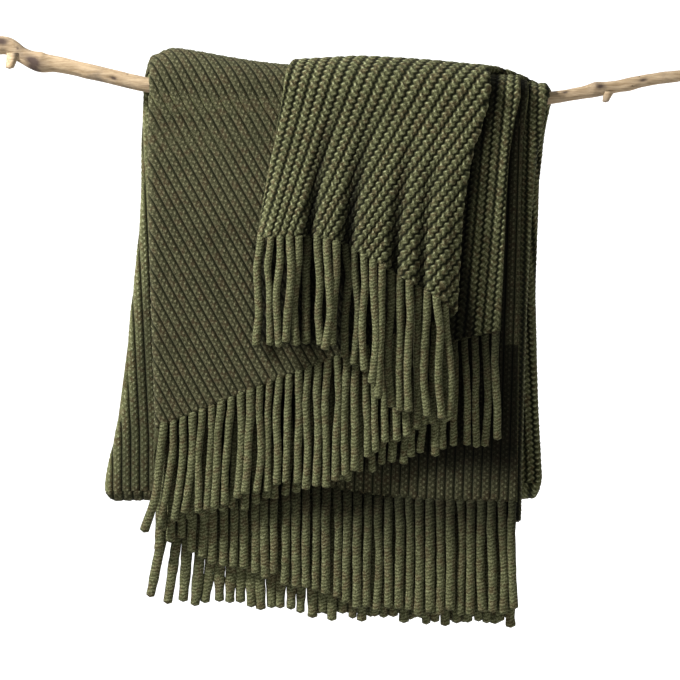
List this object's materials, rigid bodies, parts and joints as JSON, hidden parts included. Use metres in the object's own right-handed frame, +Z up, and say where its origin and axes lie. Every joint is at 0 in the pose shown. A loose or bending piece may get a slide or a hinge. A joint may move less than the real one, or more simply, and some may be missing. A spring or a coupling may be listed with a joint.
{
  "type": "knit throw on a branch",
  "caption": "Ribbed chenille knit throw in olive heather, folded in thirds and doubled, hung over a bare branch with its knitted fringes in front.",
  "frame": {"origin": "centre of the branch's left sawn end, seen from the front", "axes": "+X along the branch to the right, +Z up, the front faces -Y"},
  "size_m": [0.704, 0.1064, 0.5916],
  "materials": {
    "knit": "matte chenille knit, olive heather with brown flecks",
    "fringe": "matte chenille knitted cord, olive heather with brown flecks",
    "branch_wood": "bare dry branch, pale tan"
  },
  "bodies": {
    "root": {"throw_cloth": "knit", "fringe_flap": "fringe", "fringe_panel": "fringe", "fringe_strip": "fringe", "fringe_inner_outer": "fringe", "fringe_inner_middle": "fringe", "fringe_inner_back": "fringe", "branch": "branch_wood"}
  },
  "joints": []
}
